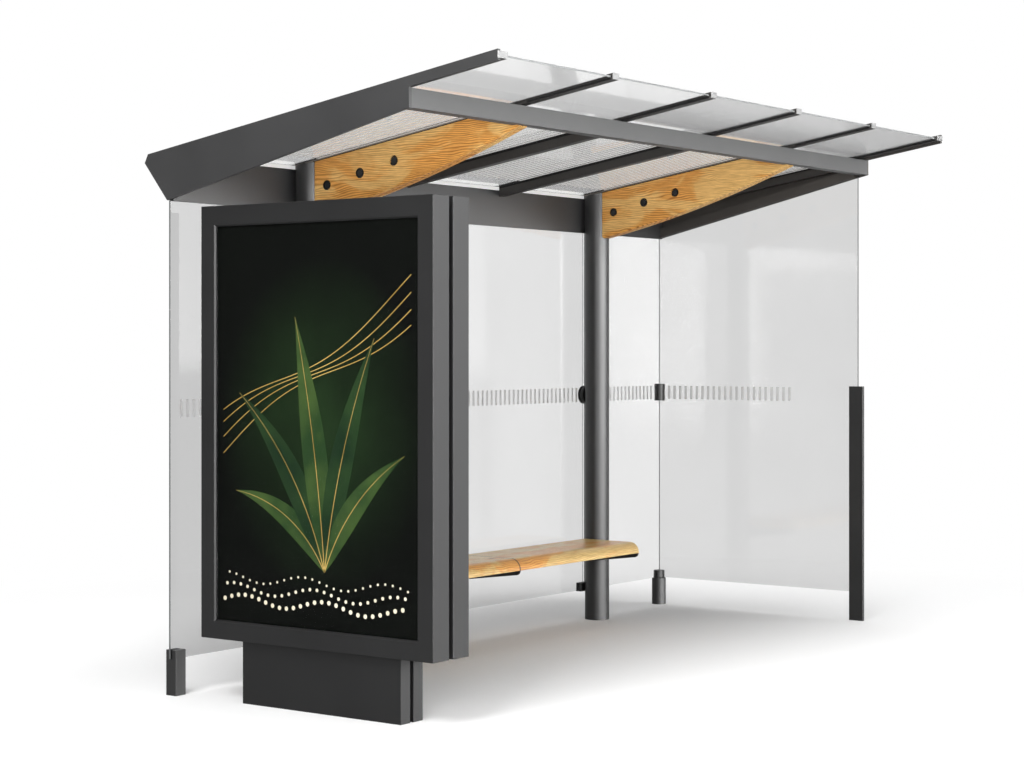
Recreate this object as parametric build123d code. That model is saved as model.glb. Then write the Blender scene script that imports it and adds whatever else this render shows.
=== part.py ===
"""Bus shelter: cantilevered glass roof on two round columns, timber consoles, glass walls,
a bench between the columns and a free-standing double poster unit at the left end.

Millimetres, +Z up, +X to the right along the shelter, +Y to the rear glass wall.
Lengths along Y are counted from the axis of the columns until the last step, which moves the
origin to the centre of the footprint on the ground.
"""
import os
from math import radians, sqrt, tan

from build123d import *

# ---- roof ----
roof_length = 4258            # over the outer faces of the two side fascias
roof_angle = 9.03             # degrees, rising towards the front
roof_front = 1784             # reach of the rafters in front of the column axis
roof_rear = 224               # rear end of the roof's top line, behind the column axis
roof_rear_height = 2483       # height of the top line at its rear end
bay_width = 840               # spacing of the inner rafters
inner_rafters = 4

rafter_width = 46
rafter_top_drop = 8           # bars lie this far under the roof's top line
rafter_height = 28
rafter_web = 20               # between the two glass grooves
glass_drop = 17               # top face of the roof glass under the top line
roof_glass = 8
deep_rafter_height = 42       # added under a bar from the beam to the gutter
end_cap_thickness = 4
pane_front_gap = 16           # rafters reach this far past the front edge of the glass
pane_edge_clearance = 2

# ---- side fascias ----
fascia_thickness = 18
fascia_nose_height = 47       # in front of the beam
fascia_bottom_rear = 100
fascia_bottom_height = 2266
fascia_bottom_angle = 13.06
beak_reach = 245              # rearmost point of the fascias and the gutter
beak_height = 2443

# ---- front beam ----
beam_front = 1320             # front face, before the column axis
beam_depth = 70
beam_height = 83
beam_bottom = 2596
beam_wall = 4

# ---- rear gutter ----
gutter_inner = 76
gutter_bottom = 2263
gutter_sheet = 3
gutter_lip = 22
gutter_edge_inset = 2
pane_rear = 130               # rear edge of the roof glass, over the trough

# ---- columns ----
column_spacing = 2520
column_diameter = 142
column_wall = 5
column_end_plate = 12

# ---- timber consoles ----
board_thickness = 33
console_plate = 10
console_gap = 2               # between the boards and the column
console_bottom = 2227
console_tip = 1278            # reach of the tip under the beam
console_tip_drop = 6
console_sag = 30
console_chamfer = 8
plate_recess = 9              # plate edge above the lower edge of the boards
board_clearance = 1
console_bolts = 3
bolt_first = 139.5
bolt_first_height = 2377
bolt_pitch = 208.5
bolt_rise = 48
bolt_diameter = 16
bolt_hole_clearance = 0.5
bolt_nut = 34                 # over the corners
bolt_nut_height = 8
bolt_recess = 50
bolt_recess_depth = 11

# ---- glass walls ----
wall_glass = 10
wall_y = 90
wall_end_inset = 8            # left edge of the back wall, inside the end of the roof
wall_bottom = 167
side_glass_inset = 36         # middle of the side pane, inside the end of the roof
side_front = 1272
pane_joint = 6
side_rail_height = 56
side_rail_thickness = 30
side_rail_grip = 20

# ---- glass fittings ----
clamp_height = 1313
clamp_diameter = 106
clamp_thickness = 20
clamp_back_thickness = 10
clamp_neck = 40
joint_web = 5
base_clamp_length = 128
base_clamp_depth = 42
base_clamp_bottom = 161
base_clamp_top = 210
corner_clamp_diameter = 72
corner_clamp_height = 104
foot_top = 208
square_foot = 64
square_foot_inset = 15
round_foot = 86
round_foot_collar = 74
round_foot_shoulder = 165
round_foot_edge = 8
post_depth = 90
post_thickness = 20
post_height = 1364
post_nose = 35
fitting_edge = 3

# ---- bench ----
seat_length = 2318
seat_joint = 4
seat_front = 356
seat_back = 22
seat_bottom = 415
seat_thickness = 61
seat_nose = 60
rail_depth = 40
rail_height = 48
rail_wall = 4
arm_thickness = 10
arm_root_height = 66
arm_tip_height = 26
arm_tip_gap = 2

# ---- poster unit ----
case_width = 1334
case_headroom = 85            # clear under the fascia at the rear top corner
case_depth = 109
case_groove = 27
case_inset = 9                # outer face, inside the end of the roof
case_front = 1441.5
case_bottom = 285
case_stile = 88
case_top_rail = 93
case_bottom_rail = 85
case_edge = 2
groove_inset = 35
case_bevel = 7
case_pane_depth = 10
case_pane = 6
case_air_gap = 3              # between the pane and the sheet
case_sheet = 3
pedestal_width = 910
pedestal_depth = 148
pedestal_groove = 23
pedestal_groove_inset = 30

# ---- lengths that follow from the above ----
half_length = roof_length / 2
fascia_inner = half_length - fascia_thickness
end_rafter_x = fascia_inner - rafter_width / 2
first_rafter_x = -(inner_rafters - 1) * bay_width / 2
inner_rafter_x = [first_rafter_x + i * bay_width for i in range(inner_rafters)]
rafter_x = [-end_rafter_x, *inner_rafter_x, end_rafter_x]
column_x = column_spacing / 2
column_radius = column_diameter / 2
rafter_drop = rafter_top_drop + rafter_height
glass_under = glass_drop + roof_glass
bar_front = -roof_front + end_cap_thickness
beam_back = -beam_front + beam_depth
beam_top = beam_bottom + beam_height
seat_top = seat_bottom + seat_thickness
wall_left = half_length - wall_end_inset
side_glass_x = half_length - side_glass_inset


def roof_z(y, drop=0):
    """Height of the roof's top line at a distance y behind the column axis, less a drop."""
    return roof_rear_height + tan(radians(roof_angle)) * (roof_rear - y) - drop


def fascia_z(y):
    """Height of the fascia's straight lower edge."""
    return fascia_bottom_height + tan(radians(fascia_bottom_angle)) * (fascia_bottom_rear - y)


def side_extrude(profile, x, width):
    """A profile drawn in (Y, Z), as thick as width and centred on x."""
    if isinstance(profile, (list, tuple)):
        profile = make_face(Polyline(*profile, close=True))
    return Pos(x - width / 2, 0, 0) * extrude(Plane.YZ * profile, width)


def roof_strip(y_front, y_rear, top_drop, bottom_drop, x, width):
    """A strip parallel to the roof with upright ends."""
    return side_extrude(
        [
            (y_front, roof_z(y_front, bottom_drop)),
            (y_front, roof_z(y_front, top_drop)),
            (y_rear, roof_z(y_rear, top_drop)),
            (y_rear, roof_z(y_rear, bottom_drop)),
        ],
        x,
        width,
    )


def block(x_range, y_range, z_range):
    """A plain rectangular solid between three pairs of limits."""
    size = [high - low for low, high in (x_range, y_range, z_range)]
    middle = [(high + low) / 2 for low, high in (x_range, y_range, z_range)]
    return Pos(*middle) * Box(*size)


def upright(radius, height, x=0, y=0, bottom=0):
    """A vertical cylinder standing on its bottom height."""
    return Pos(x, y, bottom + height / 2) * Cylinder(radius, height)


def group(shapes):
    """Like pieces that share one node."""
    return Compound([solid for shape in shapes for solid in shape.solids()])


def across(radius, length, x, y, z):
    """A cylinder along X, centred on its point."""
    return Pos(x, y, z) * Rot(0, 90, 0) * Cylinder(radius, length)


def along(radius, y_range, x, z):
    """A cylinder along Y between two limits."""
    low, high = y_range
    return Pos(x, (low + high) / 2, z) * Rot(90, 0, 0) * Cylinder(radius, high - low)


pieces = {}

# ---- columns: round tubes closed at both ends, the top cut to the slope of the rafters ----
top_of_column = roof_z(column_radius, rafter_drop)
for side, name in ((-1, "left"), (1, "right")):
    x = side * column_x
    tube = upright(column_radius, roof_z(-column_radius), x)
    above = roof_strip(-column_diameter, column_diameter, -bay_width, rafter_drop, x, column_diameter * 2)
    bore_height = top_of_column - 2 * column_end_plate
    bore = upright(column_radius - column_wall, bore_height, x, 0, column_end_plate)
    pieces[f"column_{name}"] = tube - above - bore


def column_body(x):
    """The space a column takes, for pieces that are welded to its face."""
    return upright(column_radius, roof_z(-column_radius), x)


# ---- front beam: rectangular tube between the fascias ----
beam_space = block(
    (-fascia_inner, fascia_inner),
    (-beam_front, beam_back),
    (beam_bottom, beam_top),
)
beam_bore = block(
    (-fascia_inner, fascia_inner),
    (-beam_front + beam_wall, beam_back - beam_wall),
    (beam_bottom + beam_wall, beam_top - beam_wall),
)
pieces["front_beam"] = beam_space - beam_bore

# ---- side fascias: flat cassettes with a narrow nose in front of the beam ----
fascia_outline = [
    (fascia_bottom_rear, fascia_bottom_height),
    (beak_reach, beak_height),
    (roof_rear, roof_rear_height),
    (bar_front, roof_z(bar_front)),
    (bar_front, roof_z(bar_front, fascia_nose_height)),
    (-beam_front, roof_z(-beam_front, fascia_nose_height)),
    (-beam_front, fascia_z(-beam_front)),
]
for side, name in ((-1, "left"), (1, "right")):
    x = side * (fascia_inner + fascia_thickness / 2)
    pieces[f"side_fascia_{name}"] = side_extrude(fascia_outline, x, fascia_thickness)

# ---- rear gutter: one folded sheet, the header of the glass wall and the trough ----
lip_end = gutter_inner + gutter_lip
sheet_path = Polyline(
    (lip_end, roof_z(lip_end, glass_under)),
    (gutter_inner, roof_z(gutter_inner, glass_under)),
    (gutter_inner, gutter_bottom),
    (fascia_bottom_rear, gutter_bottom),
    (beak_reach - gutter_edge_inset, beak_height),
    (roof_rear - gutter_edge_inset, roof_rear_height - gutter_edge_inset),
)
sheet_outline = offset(sheet_path, gutter_sheet, side=Side.LEFT, kind=Kind.INTERSECTION)
pieces["rear_gutter"] = side_extrude(make_face(sheet_outline), 0, 2 * fascia_inner)

# ---- rafters: glazing bars with a groove for the glass on each side ----
caps = []
for number, x in enumerate(rafter_x, start=1):
    bar = roof_strip(bar_front, gutter_inner, rafter_top_drop, rafter_drop, x, rafter_width)
    bar += roof_strip(gutter_inner, pane_rear, rafter_top_drop, glass_under, x, rafter_width)
    groove_width = (rafter_width - rafter_web) / 2
    for side in (-1, 1):
        if side * x > column_x:
            continue
        groove_x = x + side * (rafter_web + groove_width) / 2
        bar -= roof_strip(bar_front, pane_rear, glass_drop, glass_under, groove_x, groove_width)
    if abs(x) != column_x:
        deep_drop = rafter_drop + deep_rafter_height
        bar += roof_strip(beam_back, gutter_inner, rafter_drop, deep_drop, x, rafter_width)
    pieces[f"rafter_{number}"] = bar
    cap_left = x - rafter_width / 2 if x > rafter_x[0] else -half_length
    cap_right = x + rafter_width / 2 if x < rafter_x[-1] else half_length
    cap_x = (cap_left + cap_right) / 2
    cap_width = cap_right - cap_left
    caps.append(roof_strip(-roof_front, bar_front, rafter_top_drop, rafter_drop, cap_x, cap_width))
pieces["rafter_end_caps"] = group(caps)

# ---- roof panes: one in each bay, from the front edge to over the trough ----
pane_inset = rafter_web / 2 + pane_edge_clearance
pane_front = -roof_front + pane_front_gap
for number, (left, right) in enumerate(zip(rafter_x, rafter_x[1:]), start=1):
    pane_width = right - left - 2 * pane_inset
    middle = (left + right) / 2
    pieces[f"roof_pane_{number}"] = roof_strip(
        pane_front, pane_rear, glass_drop, glass_under, middle, pane_width
    )

# ---- timber consoles: two curved boards on a steel plate, under the rafters on the columns ----


def console_profile(rear, lift):
    """Outline from the column to under the beam; lift raises the curved lower edge."""
    tip = (-console_tip, beam_bottom - console_tip_drop + lift)
    heel = (rear, console_bottom + lift)
    middle = ((tip[0] + heel[0]) / 2, (tip[1] + heel[1]) / 2 - console_sag)
    lower = ThreePointArc(heel, middle, tip)
    upper = Polyline(
        tip,
        (-console_tip, roof_z(-console_tip, rafter_drop)),
        (rear, roof_z(rear, rafter_drop)),
        heel,
    )
    return make_face([lower, upper])


bolt_places = [
    (-bolt_first - i * bolt_pitch, bolt_first_height + i * bolt_rise) for i in range(console_bolts)
]
board_offset = (console_plate + board_thickness) / 2
board_outer = board_offset + board_thickness / 2
scribe_radius = column_radius + console_gap
board_rear = -sqrt(scribe_radius**2 - board_outer**2)
beam_clear = block(
    (-half_length, half_length),
    (-beam_front - board_clearance, beam_back + board_clearance),
    (beam_bottom, beam_top + beam_height),
)
for side, name in ((-1, "left"), (1, "right")):
    x = side * column_x
    plate = side_extrude(console_profile(0, plate_recess), x, console_plate)
    plate = plate - column_body(x) - block(
        (-half_length, half_length), (-beam_front - beam_depth, beam_back), (beam_bottom, beam_top * 2)
    )
    scribed = upright(scribe_radius, roof_z(0), x)
    boards = []
    for hand in (-1, 1):
        board = side_extrude(console_profile(board_rear, 0), x + hand * board_offset, board_thickness)
        outer = x + hand * board_outer
        curved = board.edges().filter_by(GeomType.CIRCLE)
        outer_edge = curved.filter_by(lambda edge: abs(edge.center().X - outer) < board_thickness / 2)
        board = chamfer(outer_edge, console_chamfer) - beam_clear - scribed
        boards.append(board)
    bolts = []
    for y, z in bolt_places:
        floor = board_outer - bolt_recess_depth
        hole = across(bolt_diameter / 2 + bolt_hole_clearance, 4 * board_outer, x, y, z)
        plate -= hole
        bolt = across(bolt_diameter / 2, 2 * floor, x, y, z)
        for hand in (-1, 1):
            index = (hand + 1) // 2
            pocket_x = x + hand * (floor + bolt_recess_depth / 2)
            pocket = across(bolt_recess / 2, bolt_recess_depth, pocket_x, y, z)
            boards[index] = boards[index] - hole - pocket
            nut_x = x + hand * (floor + bolt_nut_height / 2)
            nut = Rot(0, 90, 0) * extrude(RegularPolygon(bolt_nut / 2, 6), bolt_nut_height / 2, both=True)
            bolt += Pos(nut_x, y, z) * nut
        bolts.append(bolt)
    pieces[f"console_plate_{name}"] = plate
    pieces[f"timber_console_{name}"] = group(boards)
    pieces[f"console_bolts_{name}"] = group(bolts)

# ---- glass walls: three panes along the rear, one on the right under the fascia ----
wall_faces = (wall_y - wall_glass / 2, wall_y + wall_glass / 2)
side_faces = (side_glass_x - wall_glass / 2, side_glass_x + wall_glass / 2)
wall_height = (wall_bottom, gutter_bottom)
half_joint = pane_joint / 2
wall_spans = {
    "left": (-wall_left, -column_x - half_joint),
    "middle": (-column_x + half_joint, column_x - half_joint),
    "right": (column_x + half_joint, side_faces[0]),
}
for name, span in wall_spans.items():
    pieces[f"back_pane_{name}"] = block(span, wall_faces, wall_height)

side_pane_outline = [
    (-side_front, wall_bottom),
    (-side_front, fascia_z(-side_front) + side_rail_grip),
    (wall_faces[1], fascia_z(wall_faces[1]) + side_rail_grip),
    (wall_faces[1], wall_bottom),
]
gutter_space = block(
    (-half_length, half_length), (gutter_inner, beak_reach), (gutter_bottom, roof_rear_height)
)
side_pane = side_extrude(side_pane_outline, side_glass_x, wall_glass) - beam_space - gutter_space
pieces["side_pane_right"] = side_pane

# ---- rail inside the right fascia that grips the top of the side pane ----
rail_outline = [
    (beam_back, fascia_z(beam_back)),
    (beam_back, fascia_z(beam_back) + side_rail_height),
    (gutter_inner, fascia_z(gutter_inner) + side_rail_height),
    (gutter_inner, fascia_z(gutter_inner)),
]
rail_x = fascia_inner - side_rail_thickness / 2
pieces["side_glass_rail"] = side_extrude(rail_outline, rail_x, side_rail_thickness) - side_pane

# ---- round clamps on the columns: a disc on each face of the glass joint ----
front_disc = (wall_faces[0] - clamp_thickness, wall_faces[0])
back_disc = (wall_faces[1], wall_faces[1] + clamp_back_thickness)
clamps = []
for x in (-column_x, column_x):
    clamp = along(clamp_diameter / 2, front_disc, x, clamp_height)
    clamp += along(clamp_diameter / 2, back_disc, x, clamp_height)
    clamp += along(clamp_neck / 2, (0, wall_faces[0]), x, clamp_height)
    web = block(
        (x - joint_web / 2, x + joint_web / 2),
        wall_faces,
        (clamp_height - clamp_neck / 2, clamp_height + clamp_neck / 2),
    )
    clamps.append(clamp + web - column_body(x))
pieces["column_clamps"] = group(clamps)

# ---- clamps near the ground: blocks that carry two panes on a column ----
base_clamps = []
for x in (-column_x, column_x):
    clamp = block(
        (x - base_clamp_length / 2, x + base_clamp_length / 2),
        (wall_y - base_clamp_depth / 2, wall_y + base_clamp_depth / 2),
        (base_clamp_bottom, base_clamp_top),
    )
    clamp = fillet(clamp.edges().filter_by(Axis.Z), fitting_edge)
    clamp += block(
        (x - clamp_neck / 2, x + clamp_neck / 2), (0, wall_y), (base_clamp_bottom, base_clamp_top)
    )
    clamp -= column_body(x)
    for span in wall_spans.values():
        clamp -= block(span, wall_faces, wall_height)
    base_clamps.append(clamp)
pieces["base_clamps"] = group(base_clamps)

# ---- corner clamp: a slotted cylinder on the vertical glass joint ----
clamp_bottom = clamp_height - corner_clamp_height / 2
corner = upright(corner_clamp_diameter / 2, corner_clamp_height, side_glass_x, wall_y, clamp_bottom)
corner = corner - pieces["back_pane_right"] - side_pane
pieces["corner_clamp"] = corner

# ---- square foot at the free left end of the back wall ----
foot = block(
    (square_foot_inset - half_length, square_foot_inset - half_length + square_foot),
    (wall_y - square_foot / 2, wall_y + square_foot / 2),
    (0, foot_top),
)
foot = fillet(foot.edges().filter_by(Axis.Z), fitting_edge)
pieces["foot_left"] = foot - pieces["back_pane_left"]

# ---- round foot under the glass corner, with a rounded shoulder and a collar ----
round_radius = round_foot / 2
collar_radius = round_foot_collar / 2
shoulder_start = round_foot_shoulder - round_foot_edge
foot_profile = make_face(
    [
        Polyline((0, foot_top), (0, 0), (round_radius, 0), (round_radius, shoulder_start)),
        RadiusArc(
            (round_radius, shoulder_start),
            (round_radius - round_foot_edge, round_foot_shoulder),
            -round_foot_edge,
        ),
        Polyline(
            (round_radius - round_foot_edge, round_foot_shoulder),
            (collar_radius - round_foot_edge / 2, round_foot_shoulder),
            (collar_radius - round_foot_edge / 2, foot_top),
            (0, foot_top),
        ),
    ]
)
collar = upright(collar_radius, foot_top - round_foot_shoulder, 0, 0, round_foot_shoulder)
foot = revolve(Plane.XZ * foot_profile, Axis.Z) + collar
foot = Pos(half_length - round_radius, wall_y, 0) * foot
pieces["foot_corner"] = foot - pieces["back_pane_right"] - side_pane

# ---- front post of the side wall: a flat post slotted for the pane ----
post = block(
    (side_glass_x - post_thickness / 2, side_glass_x + post_thickness / 2),
    (-side_front - post_nose, -side_front - post_nose + post_depth),
    (0, post_height),
)
post = fillet(post.edges().filter_by(Axis.Z), fitting_edge)
pieces["side_post"] = post - side_pane

# ---- bench: two timber lengths with a rounded front edge ----
seat_outline = make_face(
    [
        Polyline(
            (-seat_front + seat_nose, seat_top),
            (seat_back, seat_top),
            (seat_back, seat_bottom),
            (-seat_front, seat_bottom),
            (-seat_front, seat_top - seat_nose),
        ),
        RadiusArc((-seat_front, seat_top - seat_nose), (-seat_front + seat_nose, seat_top), seat_nose),
    ]
)
half_seat = (seat_length - seat_joint) / 2
for side, name in ((-1, "left"), (1, "right")):
    x = side * (half_seat + seat_joint) / 2
    pieces[f"bench_seat_{name}"] = side_extrude(seat_outline, x, half_seat)

# ---- carrier rail of the bench: a tube from column to column ----
rail_size = (rail_depth, rail_height)
rail_ring = Rectangle(*rail_size) - Rectangle(*(value - 2 * rail_wall for value in rail_size))
rail = Pos(0, 0, seat_bottom - rail_height / 2) * side_extrude(rail_ring, 0, column_spacing)
pieces["bench_rail"] = rail - column_body(-column_x) - column_body(column_x)

# ---- bench arms: three tapered plates from the rail to the front edge ----
arm_root = -rail_depth / 2
arm_tip = -seat_front + arm_tip_gap
arm_outline = make_face(
    [
        Polyline(
            (arm_tip, seat_bottom),
            (arm_root, seat_bottom),
            (arm_root, seat_bottom - arm_root_height),
            (arm_tip + arm_tip_height, seat_bottom - arm_tip_height),
        ),
        RadiusArc(
            (arm_tip + arm_tip_height, seat_bottom - arm_tip_height),
            (arm_tip, seat_bottom),
            arm_tip_height,
        ),
    ]
)
arm_reach = (seat_length - arm_thickness) / 2
arms = [side_extrude(arm_outline, x, arm_thickness) for x in (-arm_reach, 0, arm_reach)]
pieces["bench_arms"] = group(arms)

# ---- poster unit: two single-sided cases back to back, with a recessed core between them ----
case_rear = -case_front + case_width
case_height = fascia_z(case_rear) - case_headroom - case_bottom
case_middle_y = case_rear - case_width / 2
unit_middle_x = case_inset - half_length + case_depth + case_groove / 2
opening_width = case_width - 2 * case_stile
opening_height = case_height - case_top_rail - case_bottom_rail
opening_z = case_bottom + case_bottom_rail + opening_height / 2
panes = []
sheets = []
for side, name in ((-1, "outer"), (1, "inner")):
    face_x = unit_middle_x + side * (case_groove / 2 + case_depth)
    body_x = face_x - side * case_depth / 2
    body = Pos(body_x, case_middle_y, case_bottom + case_height / 2) * Box(
        case_depth, case_width, case_height
    )
    body = chamfer(body.edges(), case_edge)
    mouth_depth = case_pane_depth + case_pane + case_air_gap + case_sheet
    mouth_x = face_x - side * mouth_depth / 2
    pane_x = face_x - side * (case_pane_depth + case_pane / 2)
    sheet_x = pane_x - side * (case_pane / 2 + case_air_gap + case_sheet / 2)
    opening = (opening_width, opening_height)
    body -= Pos(mouth_x, case_middle_y, opening_z) * Box(mouth_depth, *opening)
    front = body.faces().sort_by(Axis.X)[-1 if side > 0 else 0]
    pieces[f"poster_case_{name}"] = chamfer(front.inner_wires()[0].edges(), case_bevel)
    panes.append(Pos(pane_x, case_middle_y, opening_z) * Box(case_pane, *opening))
    sheets.append(Pos(sheet_x, case_middle_y, opening_z) * Box(case_sheet, *opening))
pieces["poster_panes"] = group(panes)
pieces["poster_sheets"] = group(sheets)
pieces["poster_case_core"] = Pos(unit_middle_x, case_middle_y, case_bottom + case_height / 2) * Box(
    case_groove, case_width - 2 * groove_inset, case_height - 2 * groove_inset
)

# ---- pedestal: an H in plan, as two plates with a groove at each end ----
pedestal_plan = Rectangle(pedestal_depth, pedestal_width)
for end in (-1, 1):
    pedestal_plan -= Pos(0, end * (pedestal_width - pedestal_groove_inset) / 2) * Rectangle(
        pedestal_groove, pedestal_groove_inset
    )
pieces["poster_pedestal"] = Pos(unit_middle_x, case_middle_y, 0) * extrude(pedestal_plan, case_bottom)

# ---- origin at the centre of the footprint ----
footprint_shift = Pos(0, (roof_front - beak_reach) / 2, 0)
os.makedirs("parts", exist_ok=True)
for name, shape in pieces.items():
    export_step(footprint_shift * shape, f"parts/{name}.step")
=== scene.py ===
"""Bus shelter: finishes, small fittings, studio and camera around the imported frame."""
import bmesh
import bpy
import math
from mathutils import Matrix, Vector


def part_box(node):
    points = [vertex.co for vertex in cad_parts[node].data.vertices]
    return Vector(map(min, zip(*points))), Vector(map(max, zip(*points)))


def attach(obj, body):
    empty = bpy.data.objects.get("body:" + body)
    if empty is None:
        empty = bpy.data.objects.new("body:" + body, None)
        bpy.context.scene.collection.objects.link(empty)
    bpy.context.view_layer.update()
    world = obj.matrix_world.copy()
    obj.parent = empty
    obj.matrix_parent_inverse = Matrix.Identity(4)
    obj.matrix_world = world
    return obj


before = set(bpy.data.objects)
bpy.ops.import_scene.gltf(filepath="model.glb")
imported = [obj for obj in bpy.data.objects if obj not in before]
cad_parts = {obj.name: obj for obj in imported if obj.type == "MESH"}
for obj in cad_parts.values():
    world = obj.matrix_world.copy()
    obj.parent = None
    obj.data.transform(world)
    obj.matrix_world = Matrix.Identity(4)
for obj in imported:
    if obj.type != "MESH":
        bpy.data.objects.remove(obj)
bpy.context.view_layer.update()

# ---------------------------------------------------------------- columns, beam, gutter, fascias
# Steel and folded sheet, powder coated in satin anthracite. The columns are round tubes set
# in the ground, the beam is a rectangular tube, and the gutter and the two fascias are folded
# and welded sheet.
ANTHRACITE = (0.023, 0.023, 0.0235)
# the beam's grey is the anthracite painted paler: painted light for the bright reflection on its front face
BEAM_LIT_GREY = (0.056, 0.056, 0.0565)
COLUMN_GREY = (0.022, 0.022, 0.022)
# a paler, warmer copy of the anthracite for the inner face of the right fascia and the side rail: painted
# light where the roof's shade falls on them
INNER_LIT_GREY = (0.048, 0.043, 0.039)


def fill(node, inputs):
    """Gives a node's inputs plain values, or the sockets of other nodes."""
    for name, value in inputs.items():
        if isinstance(value, bpy.types.NodeSocket):
            node.id_data.links.new(value, node.inputs[name])
        else:
            node.inputs[name].default_value = value


def wire(tree, node_type, place, inputs=None, **settings):
    """One shader node with its settings and its inputs."""
    node = tree.nodes.new(node_type)
    node.location = place
    for name, value in settings.items():
        setattr(node, name, value)
    fill(node, inputs or {})
    return node


def own_place(tree, place):
    """The piece's own coordinates, in metres."""
    return wire(tree, "ShaderNodeTexCoord", place).outputs["Object"]


def noise(tree, place, vector, **inputs):
    """Soft random clouds along a vector."""
    return wire(tree, "ShaderNodeTexNoise", place, {"Vector": vector, **inputs}).outputs["Fac"]


def ramp(tree, place, factor, low, high):
    """A colour between two stops, each a position and a tone."""
    node = wire(tree, "ShaderNodeValToRGB", place, {"Fac": factor})
    for element, (position, tone) in zip(node.color_ramp.elements, (low, high)):
        element.position = position
        element.color = (*tone, 1)
    return node.outputs["Color"]


def carry(tree, place, value, start, end, **settings):
    """A value carried from one range to another."""
    spans = {"From Min": start[0], "From Max": start[1], "To Min": end[0], "To Max": end[1]}
    return wire(tree, "ShaderNodeMapRange", place, {"Value": value, **spans}, **settings).outputs["Result"]


def new_material(name):
    """An empty node material with its output and a Principled shader."""
    material = bpy.data.materials.new(name)
    material.use_nodes = True
    tree = material.node_tree
    tree.nodes.clear()
    shader = wire(tree, "ShaderNodeBsdfPrincipled", (300, 0))
    wire(tree, "ShaderNodeOutputMaterial", (600, 0), {"Surface": shader.outputs["BSDF"]})
    return material, tree, shader


def powder_coat(name, colour, rough, spread=0.14, grain=0.05, sheen=0.5):
    """Satin powder coat: fine orange peel, with faint clouds of tone and gloss."""
    material, tree, shader = new_material(name)
    place = own_place(tree, (-900, 0))
    clouds = noise(tree, (-700, 200), place, Scale=2.3, Detail=5.0, Roughness=0.6)
    peel = noise(tree, (-700, -200), place, Scale=620.0, Detail=2.0)
    darker = [c * (1 - spread) for c in colour]
    paler = [c * (1 + spread) for c in colour]
    bump = wire(
        tree, "ShaderNodeBump", (-200, -200), {"Height": peel, "Strength": grain, "Distance": 0.0006}
    )
    finish = {
        "Base Color": ramp(tree, (-450, 200), clouds, (0.3, darker), (0.72, paler)),
        "Roughness": carry(tree, (-450, 0), clouds, (0.3, 0.7), (rough - 0.04, rough + 0.05)),
        "Normal": bump.outputs["Normal"],
        "Specular IOR Level": sheen,
    }
    fill(shader, finish)
    return material


def finish_node(material, *names):
    """Gives CAD nodes their finish."""
    for name in names:
        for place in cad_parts[name].material_slots:
            place.material = material


anthracite = powder_coat("anthracite_powder_coat", ANTHRACITE, 0.5)
# the beam's coat is painted light, paler than the anthracite of the rest of the frame
beam_lit_coat = powder_coat("beam_painted_light_coat", BEAM_LIT_GREY, 0.5)
column_coat = powder_coat("column_powder_coat", COLUMN_GREY, 0.42, sheen=0.44)
# the inner coat is the anthracite painted paler: painted light
inner_lit_coat = powder_coat("inner_painted_light_coat", INNER_LIT_GREY, 0.5)
finish_node(anthracite, "rear_gutter", "side_fascia_left")
finish_node(inner_lit_coat, "side_fascia_right", "side_glass_rail")
finish_node(column_coat, "column_left", "column_right")
finish_node(beam_lit_coat, "front_beam")

# ---------------------------------------------------------------- rafters
# Glazing bars in a warmer copy of the coat, its brown tint a painted reflection of the timber, grooved on
# both sides for the glass, each closed at the front by a small cap of bare satin aluminium. Black rubber
# seals lie along them, also standing in as painted shade on the bars' sides, and a pale bead of silicone
# beside the two bars over the timber consoles.
# warmer than the anthracite: a painted reflection of the timber above the bars
RAFTER_TIMBER_REFLECTION_GREY = (0.027, 0.0245, 0.0225)
RAFTERS = 6
BARS_OVER_CONSOLES = (2, 5)
BAR_HALF_WIDTH = 0.023
ROOF_SLOPE = math.radians(9.03)
SEAL_DROP = 0.008
LIP_HEIGHT = 0.011
SEAL_HEIGHT = 0.0095
SEAL_OVER_BOARDS = 0.0078
BEAD_HEIGHT = 0.0032
SEAL_THICKNESS = 0.0025
SEAL_EDGE = 0.0008
rafter_reflection_coat = powder_coat("rafter_painted_reflection_coat", RAFTER_TIMBER_REFLECTION_GREY, 0.5)
finish_node(rafter_reflection_coat, *[f"rafter_{bar}" for bar in range(1, RAFTERS + 1)])
cap_metal = powder_coat("satin_aluminium", (0.42, 0.42, 0.42), 0.4, 0.06, 0.03)
finish_node(cap_metal, "rafter_end_caps")


def fine_grain(name, low, high, scale, inputs, stops=(0.0, 1.0)):
    """A plain finish that drifts between two close tones in a fine grain."""
    material, tree, shader = new_material(name)
    grain = noise(tree, (-500, 0), own_place(tree, (-700, 0)), Scale=scale, Detail=3.0)
    tone = ramp(tree, (-250, 0), grain, (stops[0], low), (stops[1], high))
    fill(shader, {"Base Color": tone, **inputs})
    return material


def rest_piece(name, material):
    """Names the active object, rides it on the frame and gives it its finish."""
    piece = bpy.context.object
    piece.name = name
    bpy.ops.object.transform_apply(location=True, rotation=True, scale=True)
    piece.data.materials.clear()
    piece.data.materials.append(material)
    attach(piece, "root")
    return piece


def bevel_all(width, segments=2):
    """Rounds every edge of the active object and applies it."""
    rounding = bpy.context.object.modifiers.new("rounding", "BEVEL")
    rounding.width = width
    rounding.segments = segments
    bpy.ops.object.modifier_apply(modifier="rounding")


def join_as(name, pieces, material):
    """Joins pieces of one kind into one named object."""
    bpy.ops.object.select_all(action="DESELECT")
    for piece in pieces:
        piece.select_set(True)
    bpy.context.view_layer.objects.active = pieces[0]
    if len(pieces) > 1:
        bpy.ops.object.join()
    return rest_piece(name, material)


pane_low, pane_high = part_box("roof_pane_1")


def glass_top(y):
    """Height of the top face of the roof glass."""
    return pane_high[2] - math.tan(ROOF_SLOPE) * (y - pane_low[1])


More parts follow.
